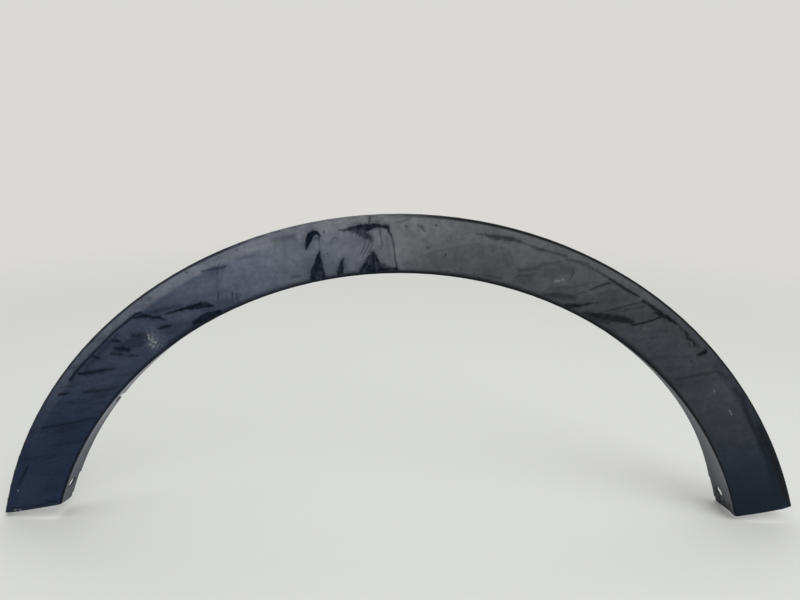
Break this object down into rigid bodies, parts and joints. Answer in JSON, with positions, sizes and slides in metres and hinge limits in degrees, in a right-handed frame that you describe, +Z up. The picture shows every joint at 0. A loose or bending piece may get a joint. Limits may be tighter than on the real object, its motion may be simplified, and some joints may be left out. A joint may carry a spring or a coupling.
{
  "type": "wheel arch trim",
  "caption": "Moulded plastic wheel arch trim: a crowned curved strip that covers the edge of a car's wheel opening, with an inner flange, screw holes and clip holders.",
  "frame": {"origin": "middle of the bounding box in X and Y, at the level of the lowest foot", "axes": "+X along the car, +Y into the car, away from the face, and +Z up"},
  "size_m": [0.8782, 0.0446, 0.3387],
  "materials": {
    "moulded_plastic": "fine moulded grain, satin, dusty along the top"
  },
  "bodies": {
    "root": {"wheel_arch_trim": "moulded_plastic"}
  },
  "joints": []
}
